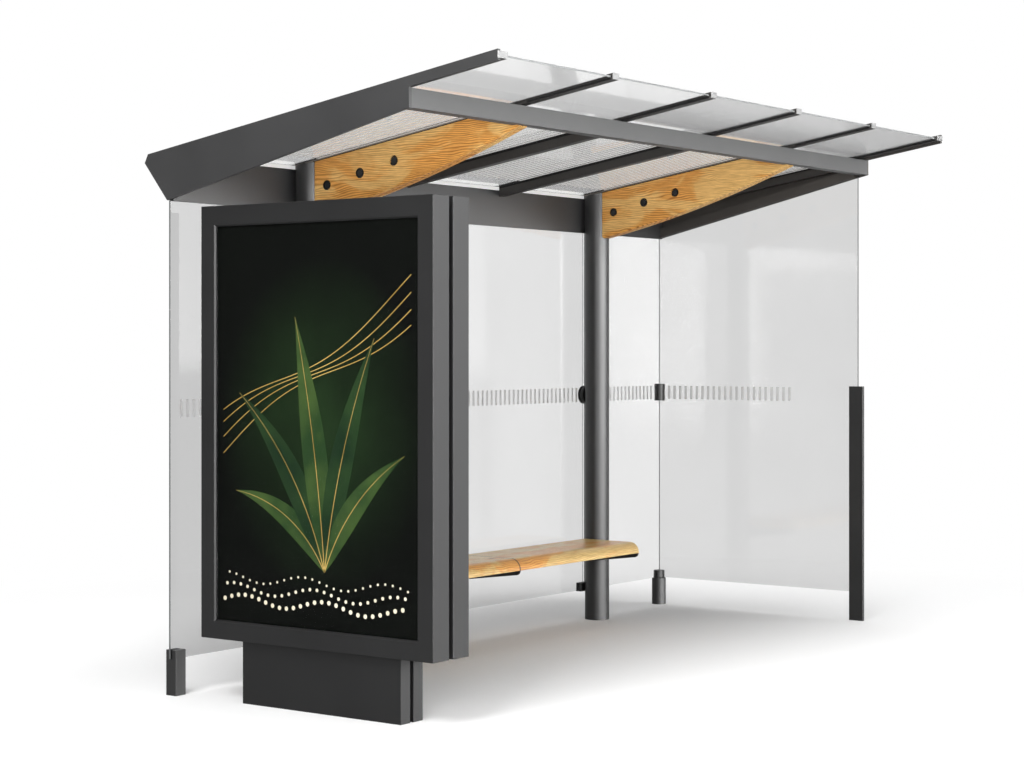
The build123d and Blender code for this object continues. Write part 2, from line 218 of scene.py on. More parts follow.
def sealing_strip(x, start, end, drop, height):
    """A strip that runs up the slope, its top this far under the top face of the glass."""
    middle = (start + end) / 2
    bpy.ops.object.select_all(action="DESELECT")
    bpy.ops.mesh.primitive_cube_add(
        size=1,
        location=(x, middle, glass_top(middle) - drop - height / 2),
        rotation=(-ROOF_SLOPE, 0, 0),
        scale=(SEAL_THICKNESS, (end - start) / math.cos(ROOF_SLOPE), height),
    )
    bpy.ops.object.transform_apply(location=False, rotation=False, scale=True)
    bevel_all(SEAL_EDGE)
    return bpy.context.object


# black seals tall enough to cover the bars' sides: partly real rubber seals and partly painted shade for the
# dark sides of the bars
rubber_and_shade = fine_grain(
    "black_rubber_and_painted_shade",
    (0.004, 0.004, 0.004),
    (0.010, 0.010, 0.010),
    140.0,
    {"Roughness": 0.7, "Specular IOR Level": 0.25},
)
pale_bead = powder_coat("pale_silicone", (0.34, 0.30, 0.26), 0.5, 0.08, 0.02)
beam_low, beam_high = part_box("front_beam")
seals = []
beads = []
for bar in range(1, RAFTERS + 1):
    low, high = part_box(f"rafter_{bar}")
    for hand in (-1, 1):
        if (bar, hand) in ((1, -1), (RAFTERS, 1)):
            continue
        x = (low[0] + high[0]) / 2 + hand * (BAR_HALF_WIDTH + SEAL_THICKNESS / 2)
        if bar in BARS_OVER_CONSOLES:
            lower = SEAL_DROP + LIP_HEIGHT - SEAL_OVER_BOARDS
            seals.append(sealing_strip(x, pane_low[1], beam_low[1], SEAL_DROP, SEAL_HEIGHT))
            seals.append(sealing_strip(x, beam_high[1], pane_high[1], lower, SEAL_OVER_BOARDS))
            beads.append(sealing_strip(x, beam_high[1], pane_high[1], SEAL_DROP, BEAD_HEIGHT))
        else:
            seals.append(sealing_strip(x, pane_low[1], pane_high[1], SEAL_DROP, SEAL_HEIGHT))
join_as("roof_seals", seals, rubber_and_shade)
join_as("roof_beads", beads, pale_bead)

# ---------------------------------------------------------------- timber consoles
# Two curved boards of oiled larch either side of a steel plate, with their lower edges
# chamfered. Three bolts go through each pair, sunk in round pockets lined with black cups.
LARCH_PALE = (1.0, 0.64, 0.23)
LARCH_WARM = (0.92, 0.46, 0.11)
LARCH_DARK = (0.52, 0.36, 0.21)
FIBRE_DARK = (0.56, 0.44, 0.30)
KNOT_DARK = (0.10, 0.035, 0.008)
KNOT_PALE = (0.24, 0.10, 0.025)
WHITE = (1.0, 1.0, 1.0)
RINGS_PER_METRE = 105.0


def timber(name, pale, warm, dark, turn, rough=0.5):
    """Oiled timber: growth lines along one direction, broad warm patches and a few knots."""
    material, tree, shader = new_material(name)

    def mapped(scale, place):
        return wire(tree, "ShaderNodeMapping", place, {"Vector": along, "Scale": scale}).outputs["Vector"]

    def layer(under, over, factor, place, blend="MULTIPLY"):
        inputs = {"Factor": factor, 6: under, 7: over}
        return wire(tree, "ShaderNodeMix", place, inputs, data_type="RGBA", blend_type=blend).outputs[2]

    def add_share(source, gain, other, place):
        inputs = {0: source, 1: gain, 2: other}
        return wire(tree, "ShaderNodeMath", place, inputs, operation="MULTIPLY_ADD").outputs["Value"]

    lie = {"Vector": own_place(tree, (-2300, 0)), "Rotation": turn}
    along = wire(tree, "ShaderNodeMapping", (-2100, 0), lie).outputs["Vector"]
    # knots are rare round cells; the growth lines swing around them and wander slowly
    cells = {"Vector": mapped((0.7, 1.0, 1.0), (-1900, -300)), "Scale": 3.1, "Randomness": 1.0}
    knots = wire(tree, "ShaderNodeTexVoronoi", (-1700, -300), cells).outputs["Distance"]
    swing = carry(
        tree, (-1500, -300), knots, (0.0, 0.30), (0.032, 0.0), interpolation_type="SMOOTHERSTEP"
    )
    drift = mapped((0.9, 2.4, 2.4), (-1900, 0))
    wander = noise(tree, (-1700, 0), drift, Scale=1.7, Detail=3.0, Roughness=0.5)
    cross = {0: mapped((0.0, 1.0, 1.0), (-1900, 300))}
    radius = wire(tree, "ShaderNodeVectorMath", (-1700, 300), cross, operation="LENGTH").outputs["Value"]
    depth = add_share(wander, 0.15, radius, (-1300, 200))
    depth = add_share(swing, 1.0, depth, (-1150, 200))
    rings = {0: depth, 1: RINGS_PER_METRE * 6.283}
    turns = wire(tree, "ShaderNodeMath", (-1000, 200), rings, operation="MULTIPLY").outputs["Value"]
    growth = wire(tree, "ShaderNodeMath", (-850, 200), {0: turns}, operation="SINE").outputs["Value"]
    # fibres, and pale and warm patches
    threads = mapped((7.0, 150.0, 150.0), (-1150, -100))
    fibres = noise(tree, (-950, -100), threads, Scale=1.5, Detail=4.0, Roughness=0.65)
    fields = mapped((1.5, 3.5, 3.5), (-1150, -400))
    patches = noise(tree, (-950, -400), fields, Scale=1.8, Detail=4.0, Distortion=0.8)
    body = ramp(tree, (-600, -400), patches, (0.44, warm), (0.52, pale))
    lines = ramp(tree, (-600, 200), growth, (0.0, WHITE), (0.85, dark))
    fine = ramp(tree, (-600, -100), fibres, (0.34, FIBRE_DARK), (0.60, WHITE))
    strength = carry(tree, (-600, 400), patches, (0.35, 0.65), (0.95, 0.35))
    tone = layer(body, lines, strength, (-300, 200))
    tone = layer(tone, fine, 0.7, (-100, 200))
    heart = carry(
        tree, (-300, -600), knots, (0.02, 0.075), (0.75, 0.0), interpolation_type="SMOOTHSTEP"
    )
    core = ramp(tree, (-300, -800), fibres, (0.3, KNOT_DARK), (0.7, KNOT_PALE))
    bump = wire(tree, "ShaderNodeBump", (50, -400), {"Height": fibres, "Strength": 0.3, "Distance": 0.0008})
    finish = {
        "Base Color": layer(tone, core, heart, (50, 100), "MIX"),
        "Roughness": carry(tree, (-100, -200), fibres, (0.3, 0.7), (rough + 0.1, rough - 0.06)),
        "Normal": bump.outputs["Normal"],
    }
    fill(shader, finish)
    return material


console_timber = timber("console_larch", LARCH_PALE, LARCH_WARM, LARCH_DARK, (0.0, 0.1, math.pi / 2))
finish_node(console_timber, "timber_console_left", "timber_console_right")
finish_node(anthracite, "console_plate_left", "console_plate_right")
black_steel = powder_coat("black_steel", (0.012, 0.012, 0.012), 0.42)
finish_node(black_steel, "console_bolts_left", "console_bolts_right")

CUP_DIAMETER = 0.050
CUP_CLEARANCE = 0.0002
CUP_DEPTH = 0.011
CUP_WALL = 0.0012
BOLT_BORE = 0.036
BOLTS = 3
NUT_HALF_WIDTH = 0.017
NUT_HALF_HEIGHT = 0.0147


def bolt_cup(x, y, z, hand):
    """A round cup with its mouth at x, facing out, and an open hole in its floor."""
    bpy.ops.object.select_all(action="DESELECT")
    bpy.ops.mesh.primitive_cylinder_add(
        vertices=48,
        radius=CUP_DIAMETER / 2 - CUP_CLEARANCE,
        depth=CUP_DEPTH,
        end_fill_type="NGON",
        location=(x - hand * CUP_DEPTH / 2, y, z),
        rotation=(0, hand * math.pi / 2, 0),
    )
    cup = bpy.context.object
    bpy.ops.object.mode_set(mode="EDIT")
    bpy.ops.mesh.select_all(action="DESELECT")
    bpy.ops.object.mode_set(mode="OBJECT")
    for facet in cup.data.polygons:
        facet.select = facet.normal.z > 0.9
    bpy.ops.object.mode_set(mode="EDIT")
    bpy.ops.mesh.inset(thickness=CUP_WALL)
    bpy.ops.transform.translate(value=(-hand * (CUP_DEPTH - CUP_WALL), 0, 0))
    bpy.ops.mesh.inset(thickness=(CUP_DIAMETER - BOLT_BORE) / 2 - CUP_WALL)
    bpy.ops.mesh.delete(type="FACE")
    bpy.ops.object.mode_set(mode="OBJECT")
    bpy.ops.object.transform_apply(location=True, rotation=True, scale=True)
    return cup


for side in ("left", "right"):
    low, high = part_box(f"timber_console_{side}")
    bolts_low, bolts_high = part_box(f"console_bolts_{side}")
    first = (bolts_high[1] - NUT_HALF_WIDTH, bolts_low[2] + NUT_HALF_HEIGHT)
    last = (bolts_low[1] + NUT_HALF_WIDTH, bolts_high[2] - NUT_HALF_HEIGHT)
    cups = []
    for bolt in range(BOLTS):
        share = bolt / (BOLTS - 1)
        y = first[0] + (last[0] - first[0]) * share
        z = first[1] + (last[1] - first[1]) * share
        cups.append(bolt_cup(low[0], y, z, -1))
        cups.append(bolt_cup(high[0], y, z, 1))
    join_as(f"bolt_cups_{side}", cups, black_steel)

# ---------------------------------------------------------------- roof panes
# Toughened glass held in the grooves of the rafters. Behind the beam, fine frosted lines are printed on its
# underside, which stop short of the gutter; they glow faintly, painted light. Pale closure strips fill the
# slot between the glass and the gutter and glow as a bright band, painted light, and a ground edge shows at
# the front.
ROOF_TINT = (0.98, 0.98, 0.98)
# the far panes' grey, darker than that of the near ones: painted shade
FAR_SHADED_TINT = (0.90, 0.90, 0.90)
ROOF_SHADE = (0.30, 0.30, 0.30)
DUST = 0.02
PANES = 5
DULL_EDGE = (-0.56, -0.50)
DULL_ROUGH = (0.22, 0.05)


def clear_glass(name, tint, rough, shade=None, ior=1.45):
    """Clear glass with a faint film of dust, shaded as told where light falls through it."""
    material, tree, shader = new_material(name)
    dust = noise(tree, (-700, 0), own_place(tree, (-900, 0)), Scale=1.4, Detail=4.0, Roughness=0.55)
    darker = [c * (1 - DUST) for c in tint]
    paler = [min(1, c * (1 + DUST)) for c in tint]
    finish = {
        "Base Color": ramp(tree, (-450, 150), dust, (0.3, darker), (0.7, paler)),
        "Roughness": carry(tree, (-450, -150), dust, (0.3, 0.7), (rough * 0.8, rough * 1.2)),
        "Transmission Weight": 1.0,
        "IOR": ior,
    }
    fill(shader, finish)
    rays = wire(tree, "ShaderNodeLightPath", (100, 350)).outputs
    lit = {0: rays["Is Shadow Ray"], 1: rays["Is Diffuse Ray"]}
    unseen = wire(tree, "ShaderNodeMath", (300, 400), lit, operation="MAXIMUM")
    through = wire(tree, "ShaderNodeBsdfTransparent", (300, 200), {"Color": (*(shade or tint), 1)})
    choice = {"Fac": unseen.outputs["Value"], 1: shader.outputs["BSDF"], 2: through.outputs["BSDF"]}
    choose = wire(tree, "ShaderNodeMixShader", (500, 100), choice)
    output = next(n for n in tree.nodes if n.type == "OUTPUT_MATERIAL")
    output.location = (750, 100)
    fill(output, {"Surface": choose.outputs["Shader"]})
    return material


def main_shader(material):
    """The Principled shader of a material."""
    return next(n for n in material.node_tree.nodes if n.type == "BSDF_PRINCIPLED")


roof_glass = clear_glass("roof_glass", ROOF_TINT, 0.06, ROOF_SHADE)
finish_node(roof_glass, "roof_pane_1", "roof_pane_2")
# the far panes are a darker grey copy of the roof glass, painted shade, and duller in front of the beam,
# where rain and dust dry on them
far_glass = clear_glass("far_roof_glass", FAR_SHADED_TINT, 0.05, ROOF_SHADE)
far_tree = far_glass.node_tree
far_axes = wire(far_tree, "ShaderNodeSeparateXYZ", (-700, -500), {0: own_place(far_tree, (-900, -500))})
far_dull = carry(far_tree, (-450, -500), far_axes.outputs["Y"], DULL_EDGE, DULL_ROUGH)
fill(main_shader(far_glass), {"Roughness": far_dull})
finish_node(far_glass, "roof_pane_3", "roof_pane_4", "roof_pane_5")

UNDERSIDE = 0.0083
LINE_PITCH = 0.0435
LINE_WIDTH = 0.020
LINE_FILM = 0.0003
LINE_COUNT = 18
LINE_LEAD = 0.012
LINE_REACH = 1.165
EDGE_FILM = 0.0004
EDGE_HEIGHT = 0.0076
EDGE_DROP = 0.0042
EDGE_ENDS = 0.014
CLOSURE_HEIGHT = 0.018
CLOSURE_THICKNESS = 0.003
CLOSURE_EDGE = 0.0008
CLOSURE_DROP = 0.0086
CLOSURE_ENDS = 0.030
# strength of the painted glow of the closure strips
CLOSURE_PAINTED_GLOW = 0.42
# the printed lines glow faintly: painted light, so that they show paler than the glass between them
print_with_glow = fine_grain(
    "white_frit_painted_glow",
    (0.66, 0.65, 0.64),
    (0.74, 0.73, 0.72),
    90.0,
    {
        "Roughness": 0.7,
        "Transmission Weight": 0.3,
        "IOR": 1.3,
        "Emission Color": (1.0, 0.99, 0.97, 1),
        "Emission Strength": 0.13,
    },
)
ground_edge = powder_coat("ground_glass_edge", (0.30, 0.31, 0.31), 0.5, 0.08, 0.02)
# the closure strips glow though they are no lamp: painted light for the bright band along the gutter
closure_glowing_finish = fine_grain(
    "closure_painted_glow",
    (0.78, 0.78, 0.77),
    (0.90, 0.90, 0.89),
    60.0,
    {"Roughness": 0.6, "Emission Strength": CLOSURE_PAINTED_GLOW},
)
closure_glow_shader = main_shader(closure_glowing_finish)
fill(closure_glow_shader, {"Emission Color": closure_glow_shader.inputs["Base Color"].links[0].from_socket})


def thin_block(location, size, edge, segments=1, turn=(0, 0, 0)):
    """A bar or film with rounded edges, at its size and place."""
    bpy.ops.object.select_all(action="DESELECT")
    bpy.ops.mesh.primitive_cube_add(size=1, location=location, rotation=turn, scale=size)
    bpy.ops.object.transform_apply(location=True, rotation=True, scale=True)
    bevel_all(edge, segments)
    return bpy.context.object


def repeat_row(step, count):
    """Repeats the active piece in a straight row."""
    row = bpy.context.object.modifiers.new("row", "ARRAY")
    row.use_relative_offset = False
    row.use_constant_offset = True
    row.constant_offset_displace = step
    row.count = count
    bpy.ops.object.modifier_apply(modifier="row")


gutter_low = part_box("rear_gutter")[0]
closure_z = glass_top(gutter_low[1]) - CLOSURE_DROP - CLOSURE_HEIGHT / 2
line_y = beam_high[1] + LINE_REACH / 2
line_z = glass_top(line_y) - UNDERSIDE - LINE_FILM
closures = []
edges = []
for number in range(1, PANES + 1):
    low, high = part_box(f"roof_pane_{number}")
    middle_x = (low[0] + high[0]) / 2
    width = high[0] - low[0]
    closures.append(
        thin_block(
            (middle_x, gutter_low[1] - CLOSURE_THICKNESS / 2, closure_z),
            (width - CLOSURE_ENDS, CLOSURE_THICKNESS, CLOSURE_HEIGHT),
            CLOSURE_EDGE,
        )
    )
    thin_block(
        (low[0] + LINE_PITCH / 2 + LINE_LEAD, line_y, line_z),
        (LINE_WIDTH, LINE_REACH / math.cos(ROOF_SLOPE), LINE_FILM),
        LINE_FILM / 3,
        turn=(-ROOF_SLOPE, 0, 0),
    )
    repeat_row((LINE_PITCH, 0, 0), LINE_COUNT)
    rest_piece(f"roof_print_{number}", print_with_glow)
    edges.append(
        thin_block(
            (middle_x, low[1] - EDGE_FILM / 2, high[2] - EDGE_DROP),
            (width - EDGE_ENDS, EDGE_FILM, EDGE_HEIGHT),
            EDGE_FILM / 3,
        )
    )
join_as("roof_glass_edges", edges, ground_edge)
join_as("gutter_closures", closures, closure_glowing_finish)

# ---------------------------------------------------------------- glass walls
# Clear toughened panes, 10 mm thick, held by clamps, with polished edges and a bead of clear
# silicone in the corner. A row of short frosted strips at the eye height of someone seated
# makes them seen.
GLASS_SHADE = (0.35, 0.35, 0.35)
# one glass, given a different grey on each pane: painted shade and light, darkest on the left pane and
# palest on the right one
for name, node, grey, rough, ior in (
    ("wall_glass", "back_pane_middle", 0.79, 0.08, 1.45),
    ("right_glass", "back_pane_right", 0.84, 0.1, 1.45),
    ("side_glass", "side_pane_right", 0.71, 0.08, 1.45),
    ("left_glass", "back_pane_left", 0.57, 0.05, 1.2),
):
    finish_node(clear_glass(name, (grey, grey, grey), rough, GLASS_SHADE, ior), node)

WALL_EDGE_FILM = 0.0004
WALL_EDGE_SIDE = 0.001
WALL_EDGE_ENDS = 0.002
EDGE_LINE_WIDTH = 0.004
EDGE_LINE_AT = 1.233
CORNER_SIDE = 0.002
CORNER_ENDS = 0.01
CORNER_ROUNDING = 0.0012
pane_edge = powder_coat("polished_glass_edge", (0.10, 0.105, 0.105), 0.3, 0.08, 0.02)
clear_bead = powder_coat("clear_silicone", (0.72, 0.72, 0.72), 0.4, 0.08, 0.02)
wall_edges = []
for wall in ("left", "middle", "right"):
    low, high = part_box(f"back_pane_{wall}")
    for x, hand in ((low[0], -1), (high[0], 1)):
        if (wall, hand) == ("right", 1):
            continue
        wall_edges.append(
            thin_block(
                (x + hand * WALL_EDGE_FILM / 2, (low[1] + high[1]) / 2, (low[2] + high[2]) / 2),
                (WALL_EDGE_FILM, high[1] - low[1] - WALL_EDGE_SIDE, high[2] - low[2] - WALL_EDGE_ENDS),
                WALL_EDGE_FILM / 3,
            )
        )
low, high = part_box("back_pane_middle")
for hand in (-1, 1):
    wall_edges.append(
        thin_block(
            (hand * EDGE_LINE_AT, low[1] - WALL_EDGE_FILM / 2, (low[2] + high[2]) / 2),
            (EDGE_LINE_WIDTH, WALL_EDGE_FILM, high[2] - low[2] - WALL_EDGE_ENDS),
            WALL_EDGE_FILM / 3,
        )
    )
join_as("wall_glass_edges", wall_edges, pane_edge)
side_low, side_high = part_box("side_pane_right")
low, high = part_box("back_pane_right")
thin_block(
    (side_low[0] - CORNER_SIDE / 2, low[1] - CORNER_SIDE / 2, (low[2] + high[2]) / 2),
    (CORNER_SIDE, CORNER_SIDE, high[2] - low[2] - CORNER_ENDS),
    CORNER_ROUNDING,
    segments=2,
)
rest_piece("corner_seal", clear_bead)

STRIP_WIDTH = 0.018
STRIP_FOOT = 1.272
STRIP_HEAD = 1.354
STRIP_FILM = 0.0003
STRIP_PITCH = 0.0415
STRIP_LEAD = 0.06
LEFT_LEAD = 0.067
STRIP_TAIL = 0.06
SIDE_PITCH = 0.040
SIDE_LEAD = 0.078
SIDE_COUNT = 22
FILM_SPREAD = 0.07


def frosted_film(name, grey):
    """Etched film: a fine speckle around one pale grey."""
    low, high = grey * (1 - FILM_SPREAD), grey * (1 + FILM_SPREAD)
    return fine_grain(name, (low, low, low), (high, high, high), 300.0, {"Roughness": 0.6})


def strip_row(name, first, step, count, size, film):
    """A row of upright strips: one thin rounded film, repeated."""
    thin_block(first, size, STRIP_FILM / 3)
    repeat_row(step, count)
    rest_piece(name, film)


# one etched film in two greys, darker on the left and middle panes, paler on the right and side panes: the
# difference is painted shade and light
back_film = frosted_film("frosted_film_back", 0.50)
pale_film = frosted_film("frosted_film_pale", 0.78)
strip_z = (STRIP_FOOT + STRIP_HEAD) / 2
strip_height = STRIP_HEAD - STRIP_FOOT
for wall, lead, film in (
    ("left", LEFT_LEAD, back_film),
    ("middle", STRIP_LEAD, back_film),
    ("right", STRIP_LEAD, pale_film),
):
    low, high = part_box(f"back_pane_{wall}")
    strip_row(
        f"glass_strips_{wall}",
        (low[0] + lead, low[1] - STRIP_FILM / 2, strip_z),
        (STRIP_PITCH, 0, 0),
        int((high[0] - low[0] - lead - STRIP_TAIL) / STRIP_PITCH) + 1,
        (STRIP_WIDTH, STRIP_FILM, strip_height),
        film,
    )
strip_row(
    "glass_strips_side",
    (side_low[0] - STRIP_FILM / 2, side_high[1] - SIDE_LEAD, strip_z),
    (0, -SIDE_PITCH, 0),
    SIDE_COUNT,
    (STRIP_FILM, STRIP_WIDTH, strip_height),
    pale_film,
)

# ---------------------------------------------------------------- glass fittings
# Cast and turned clamps that grip the panes, the two feet of the glass and the flat front
# post, all in a darker satin coat.
dark_coat = powder_coat("dark_powder_coat", (0.010, 0.010, 0.010), 0.42, sheen=0.35)
foot_coat = powder_coat("foot_powder_coat", (0.014, 0.014, 0.014), 0.4, sheen=0.5)
finish_node(dark_coat, "column_clamps", "base_clamps", "corner_clamp")
finish_node(foot_coat, "foot_left", "foot_corner", "side_post")

# ---------------------------------------------------------------- bench
# Two lengths of oiled larch under a thin clear coat, with a rounded front edge, on three tapered steel arms
# and a rail that runs from column to column. Dark end grain shows in the joint between them, and the dark
# tone runs a few millimetres onto the faces beside it as painted shade of the gap.
BENCH_PALE = (1.0, 0.73, 0.28)
BENCH_WARM = (1.0, 0.52, 0.11)
BENCH_DARK = (0.74, 0.46, 0.22)
END_GRAIN_AND_JOINT_SHADE = (0.10, 0.045, 0.015, 1)
JOINT_EDGE = (0.0035, 0.0065)
bench_timber = timber("bench_larch", BENCH_PALE, BENCH_WARM, BENCH_DARK, (0.0, 0.0, 0.0), 0.42)
bench_tree = bench_timber.node_tree
bench_shader = main_shader(bench_timber)
face_tone = bench_shader.inputs["Base Color"].links[0].from_socket
bench_place = own_place(bench_tree, (-700, -1100))
bench_axes = wire(bench_tree, "ShaderNodeSeparateXYZ", (-500, -1100), {0: bench_place})
from_joint = wire(
    bench_tree, "ShaderNodeMath", (-300, -1100), {0: bench_axes.outputs["X"]}, operation="ABSOLUTE"
).outputs["Value"]
# darkens the wood within a few millimetres of the joint: real end grain on the ends, painted shade of the
# gap on the faces beside it
at_joint = carry(bench_tree, (-100, -1100), from_joint, JOINT_EDGE, (1.0, 0.0))
bench_tones = {"Factor": at_joint, 6: face_tone, 7: END_GRAIN_AND_JOINT_SHADE}
bench_tone = wire(bench_tree, "ShaderNodeMix", (150, -900), bench_tones, data_type="RGBA").outputs[2]
fill(bench_shader, {"Base Color": bench_tone, "Coat Weight": 0.5, "Coat Roughness": 0.25})
finish_node(bench_timber, "bench_seat_left", "bench_seat_right")
finish_node(dark_coat, "bench_rail", "bench_arms")

# ---------------------------------------------------------------- poster unit
# Two steel cases back to back on a double pedestal, each a frame around a pane of glass with
# a printed sheet behind it. The print is a plain generic design: a fan of long leaves with
# gold ribs on a dark green glow, thin gold sweeps and a wave of cream dots.
MIDDLE_X = -1.9975
SHEET_HEART = (MIDDLE_X, -0.05, 1.25)
SHEET_FADE = (0.05, 0.75)
SHEET_DARK = (0.0025, 0.0030, 0.0025)
SHEET_GREEN = (0.010, 0.022, 0.008)
# darker than the anthracite of the frame: painted shade for the dark faces of the cases
case_shaded_coat = powder_coat("poster_shaded_coat", (0.006, 0.006, 0.0062), 0.5, sheen=0.42)
finish_node(case_shaded_coat, "poster_case_outer", "poster_case_inner", "poster_pedestal")
finish_node(black_steel, "poster_case_core")
case_glass = clear_glass("case_glass", (0.97, 0.97, 0.97), 0.02, ior=1.12)
fill(main_shader(case_glass), {"Alpha": 0.05})
finish_node(case_glass, "poster_panes")

sheet_print, sheet_tree, sheet_shader = new_material("printed_sheet")
squash = {"Vector": own_place(sheet_tree, (-1300, 0)), "Scale": (1.0, 1.25, 1.0)}
sheet_place = wire(sheet_tree, "ShaderNodeMapping", (-1100, 0), squash).outputs["Vector"]
sheet_heart = {0: sheet_place, 1: SHEET_HEART}
sheet_away = wire(sheet_tree, "ShaderNodeVectorMath", (-1100, 200), sheet_heart, operation="DISTANCE")
sheet_near = carry(sheet_tree, (-700, 100), sheet_away.outputs["Value"], SHEET_FADE, (1.0, 0.0))
sheet_clouds = noise(sheet_tree, (-900, -200), sheet_place, Scale=1.9, Detail=3.0)
sheet_light = {0: sheet_near, 1: sheet_clouds}
sheet_glow = wire(sheet_tree, "ShaderNodeMath", (-500, 0), sheet_light, operation="MULTIPLY")
sheet_tone = ramp(sheet_tree, (-250, 0), sheet_glow.outputs["Value"], (0.0, SHEET_DARK), (0.55, SHEET_GREEN))
fill(sheet_shader, {"Base Color": sheet_tone, "Roughness": 0.5, "Specular IOR Level": 0.04})
finish_node(sheet_print, "poster_sheets")


def print_ink(name, low, high, rough):
    """A plain printed colour that drifts a little between two tones."""
    return fine_grain(name, low, high, 5.0, {"Roughness": rough, "Specular IOR Level": 0.15}, (0.35, 0.65))


INK = 0.0003
ART_X = -2.101
inks = {
    "leaf_0": print_ink("leaf_green_1", (0.012, 0.034, 0.009), (0.036, 0.068, 0.016), 0.4),
    "leaf_1": print_ink("leaf_green_2", (0.005, 0.018, 0.006), (0.014, 0.036, 0.010), 0.4),
    "gold": print_ink("gold_ink", (0.30, 0.19, 0.045), (0.46, 0.31, 0.09), 0.35),
    "cream": print_ink("cream_ink", (0.62, 0.56, 0.42), (0.72, 0.67, 0.53), 0.4),
}
art = {"gold": [], "cream": [], "leaf_0": [], "leaf_1": []}


def ribbon(group, points, widths, level):
    """A flat printed shape: a strip of quads along a line of (y, z) points, of varying width."""
    bpy.ops.object.select_all(action="DESELECT")
    bpy.ops.mesh.primitive_grid_add(x_subdivisions=1, y_subdivisions=len(points) - 1, size=2)
    piece = bpy.context.object
    bpy.ops.object.mode_set(mode="EDIT")
    mesh = bmesh.from_edit_mesh(piece.data)
    rows = {}
    for vert in mesh.verts:
        rows.setdefault(round(vert.co.y, 5), []).append(vert)
    for step, key in enumerate(sorted(rows)):
        y, z = points[step]
        before = points[max(step - 1, 0)]
        after = points[min(step + 1, len(points) - 1)]
        run = Vector((after[0] - before[0], after[1] - before[1])).normalized()
        for vert in rows[key]:
            side = widths[step] / 2 * (1 if vert.co.x > 0 else -1)
            vert.co = (ART_X - INK * level, y - run.y * side, z + run.x * side)
    bmesh.ops.recalc_face_normals(mesh, faces=mesh.faces)
    bmesh.update_edit_mesh(piece.data)
    bpy.ops.object.mode_set(mode="OBJECT")
    depth = piece.modifiers.new("ink", "SOLIDIFY")
    depth.thickness = INK * 0.6
    depth.offset = 0
    bpy.ops.object.modifier_apply(modifier="ink")
    art[group].append(piece)


# each leaf: its lean in degrees, its length and its width
LEAVES = ((-52, 0.62, 0.105), (-30, 0.92, 0.130), (-8, 1.12, 0.140), (14, 1.05, 0.130), (37, 0.68, 0.110))
LEAF_STEPS = 16
LEAF_BEND = 0.55
LEAF_BELLY = 0.8
LEAF_TIP = 0.002
LEAF_LEVEL = 1.0
LEAF_OVERLAP = 0.15
ROOT_Y, ROOT_Z = -0.06, 0.62
RIB_WIDTH = 0.0045
RIB_TAPER = 0.0002
RIB_LEVEL = 2.6
for number, (lean, reach, width) in enumerate(LEAVES):
    spine = []
    for step in range(LEAF_STEPS + 1):
        share = step / LEAF_STEPS
        bend = math.radians(lean * (LEAF_BEND + LEAF_BEND * share))
        spine.append((ROOT_Y - math.sin(bend) * reach * share, ROOT_Z + math.cos(bend) * reach * share))
    steps = range(LEAF_STEPS + 1)
    swell = [math.sin(math.pi * (step / LEAF_STEPS) ** LEAF_BELLY) for step in steps]
    blade = [max(LEAF_TIP, width * share) for share in swell]
    ribbon(f"leaf_{number % 2}", spine, blade, LEAF_LEVEL + LEAF_OVERLAP * number)
    ribbon("gold", spine, [RIB_WIDTH - RIB_TAPER * step for step in steps], RIB_LEVEL)

SWEEPS = 4
SWEEP_STEPS = 32
SWEEP_WIDTH = 0.0035
SWEEP_REACH = 0.54
SWEEP_FOOT = 1.12
SWEEP_PITCH = 0.045
SWEEP_CLIMB = 0.62
SWEEP_WAVE = 0.06
SWEEP_TURN = 5.2
SWEEP_SHIFT = 0.5
SWEEP_LEVEL = 0.6
for number in range(SWEEPS):
    sweep = []
    for step in range(SWEEP_STEPS + 1):
        share = step / SWEEP_STEPS
        rise = SWEEP_WAVE * math.sin(share * SWEEP_TURN + number * SWEEP_SHIFT) + SWEEP_CLIMB * share
        sweep.append((SWEEP_REACH - 2 * SWEEP_REACH * share, SWEEP_FOOT + SWEEP_PITCH * number + rise))
    ribbon("gold", sweep, [SWEEP_WIDTH] * (SWEEP_STEPS + 1), SWEEP_LEVEL)

DOT_ROWS = 3
DOTS = 26
DOT_RADIUS = 0.010
DOT_TAPER = 0.0022
DOT_START = 0.53
DOT_PITCH = 0.041
DOT_SHIFT = 0.014
DOT_FOOT = 0.47
DOT_ROW_PITCH = 0.050
DOT_WAVE = 0.022
DOT_TURN = 0.55
for row in range(DOT_ROWS):
    for dot in range(DOTS):
        y = DOT_START - DOT_PITCH * dot - DOT_SHIFT * row
        z = DOT_FOOT + DOT_ROW_PITCH * row + DOT_WAVE * math.sin(dot * DOT_TURN + row)
        bpy.ops.object.select_all(action="DESELECT")
        bpy.ops.mesh.primitive_cylinder_add(
            vertices=16,
            radius=DOT_RADIUS - DOT_TAPER * row,
            depth=INK,
            location=(ART_X - INK, y, z),
            rotation=(0, math.pi / 2, 0),
        )
        bevel_all(INK / 4, 1)
        art["cream"].append(bpy.context.object)

# the print of the inner case is the same one, turned round the middle of the unit
case_low, case_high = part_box("poster_case_outer")
MIDDLE_Y = (case_low[1] + case_high[1]) / 2
for group, pieces in art.items():
    join_as(f"art_{group}_outer", pieces, inks[group])
    bpy.ops.object.duplicate()
    bpy.ops.transform.rotate(value=math.pi, orient_axis="Z", center_override=(MIDDLE_X, MIDDLE_Y, 0))
    rest_piece(f"art_{group}_inner", inks[group])

